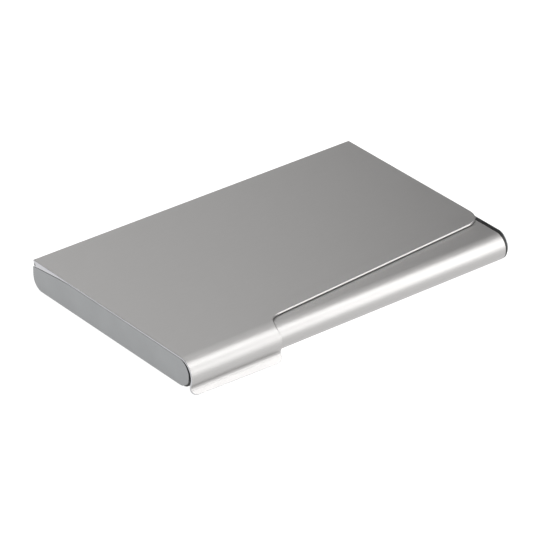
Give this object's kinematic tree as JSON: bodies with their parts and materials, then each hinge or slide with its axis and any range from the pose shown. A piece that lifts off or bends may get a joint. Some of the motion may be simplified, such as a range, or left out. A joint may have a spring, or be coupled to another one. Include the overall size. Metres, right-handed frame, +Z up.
{
  "type": "business card case",
  "caption": "Slim flat metal case for business cards, with a full-width hinged lid that wraps over the rounded front edge and ends in a flared thumb tab.",
  "frame": {"origin": "centre of the case's footprint, level with the lowest edge of the thumb tab", "axes": "+X along the case's length, from the left end to the right end as seen from the thumb tab; +Y from the thumb tab to the hinge; +Z up, out of the lid"},
  "size_m": [0.095, 0.0622, 0.0086],
  "materials": {
    "lid_steel": "satin",
    "shell_steel": "satin",
    "plate_metal": "matte bead blasted",
    "black_plastic": "matte",
    "pin_steel": "plain",
    "spring_steel": "plain",
    "black_felt": "felt"
  },
  "bodies": {
    "case": {"body_shell": "shell_steel", "end_plate_left": "plate_metal", "end_plate_right": "plate_metal", "end_cap_left": "black_plastic", "end_cap_right": "black_plastic", "hinge_pin_left": "pin_steel", "hinge_pin_right": "pin_steel", "card_spring": "spring_steel", "floor_liner": "black_felt"},
    "lid": {"lid": "lid_steel"}
  },
  "joints": [
    {"name": "lid_hinge", "type": "hinge", "parent": "case", "child": "lid", "pos_m": [0, 0.02983, 0.00758], "axis": [-1, 0, 0], "range_deg": [0, 95]}
  ]
}
